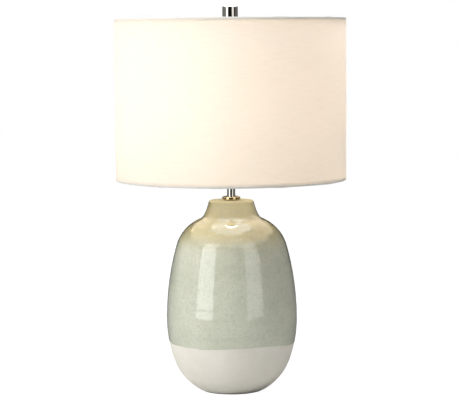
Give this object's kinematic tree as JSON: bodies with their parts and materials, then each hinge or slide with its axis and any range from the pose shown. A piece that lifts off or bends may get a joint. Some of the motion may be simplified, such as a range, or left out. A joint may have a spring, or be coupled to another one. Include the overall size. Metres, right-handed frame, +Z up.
{
  "type": "table lamp",
  "caption": "Table lamp with a glazed jar body, a metal stem, a lift-off fabric drum shade on a wire harp, a turn-key socket, a screw-in bulb and a finial.",
  "frame": {"origin": "centre of the felt foot's underside, on the surface that the lamp stands on", "axes": "+Z up the lamp's axis, -Y the front with the switch, harp in the XZ plane, cord bushing towards +Y"},
  "size_m": [0.381, 0.381, 0.6364],
  "materials": {
    "glazed_stoneware": "grey-green crackle glaze over a bare off-white foot",
    "felt": "pressed felt",
    "zinc_steel": "zinc plated",
    "clear_grommet": "milky soft plastic",
    "black_rubber": "matt",
    "polished_nickel": "polished nickel plate",
    "harp_nickel": "satin nickel plate",
    "socket_nickel": "nickel plate",
    "insulating_card": "varnished card",
    "phenolic": "moulded black",
    "brass": "plain brass",
    "bulb_cap_metal": "bright",
    "bulb_white_plastic": "smooth white",
    "frosted_cover": "frosted white, lit",
    "shade_linen": "slubbed off-white weave, lit from inside",
    "shade_backing": "matt white laminate",
    "white_wire": "white enamel"
  },
  "bodies": {
    "base": {"jar": "glazed_stoneware", "felt_pad": "felt", "bottom_washer": "zinc_steel", "bottom_nut": "zinc_steel", "threaded_rod": "zinc_steel", "cord_bushing": "clear_grommet", "neck_gasket": "black_rubber", "neck_collar": "polished_nickel", "stem_sleeve": "polished_nickel", "harp_saddle": "harp_nickel", "socket_cap": "socket_nickel", "socket_set_screw": "zinc_steel", "socket_shell": "socket_nickel", "socket_liner": "insulating_card", "socket_body": "phenolic", "terminal_screws": "brass", "screw_shell": "brass", "centre_contact": "brass"},
    "harp": {"harp_bow": "harp_nickel"},
    "ferrule_right": {"ferrule_right": "harp_nickel"},
    "ferrule_left": {"ferrule_left": "harp_nickel"},
    "harp_swivel": {"harp_stud": "harp_nickel"},
    "shade": {"shade_fabric": "shade_linen", "shade_liner": "shade_backing", "top_ring": "white_wire", "bottom_ring": "white_wire", "spider_hub": "white_wire", "spider_arms": "white_wire"},
    "finial": {"finial_body": "polished_nickel", "finial_insert": "brass"},
    "bulb": {"bulb_tip": "brass", "bulb_insulator": "phenolic", "bulb_screw_cap": "bulb_cap_metal", "bulb_housing": "bulb_white_plastic", "bulb_globe": "frosted_cover"},
    "switch": {"switch_shaft": "brass", "switch_knob": "phenolic"}
  },
  "joints": [
    {"name": "harp_lift", "type": "slide", "parent": "base", "child": "harp", "axis": [0, 0, 1], "range_m": [0, 0.02]},
    {"name": "ferrule_right_lift", "type": "slide", "parent": "harp", "child": "ferrule_right", "axis": [0, 0, 1], "range_m": [0, 0.015]},
    {"name": "ferrule_left_lift", "type": "slide", "parent": "harp", "child": "ferrule_left", "axis": [0, 0, 1], "range_m": [0, 0.015]},
    {"name": "shade_swivel", "type": "hinge", "parent": "harp", "child": "harp_swivel", "pos_m": [0, 0, 0.6], "axis": [0, 0, 1], "continuous": true},
    {"name": "shade_lift", "type": "slide", "parent": "harp_swivel", "child": "shade", "axis": [0, 0, 1], "range_m": [0, 0.28]},
    {"name": "finial_unscrew", "type": "slide", "parent": "shade", "child": "finial", "axis": [0, 0, 1], "range_m": [0, 0.04]},
    {"name": "bulb_unscrew", "type": "slide", "parent": "base", "child": "bulb", "axis": [0, 0, 1], "range_m": [0, 0.035]},
    {"name": "switch_turn", "type": "hinge", "parent": "base", "child": "switch", "pos_m": [0, -0.03, 0.377], "axis": [0, -1, 0], "continuous": true}
  ]
}
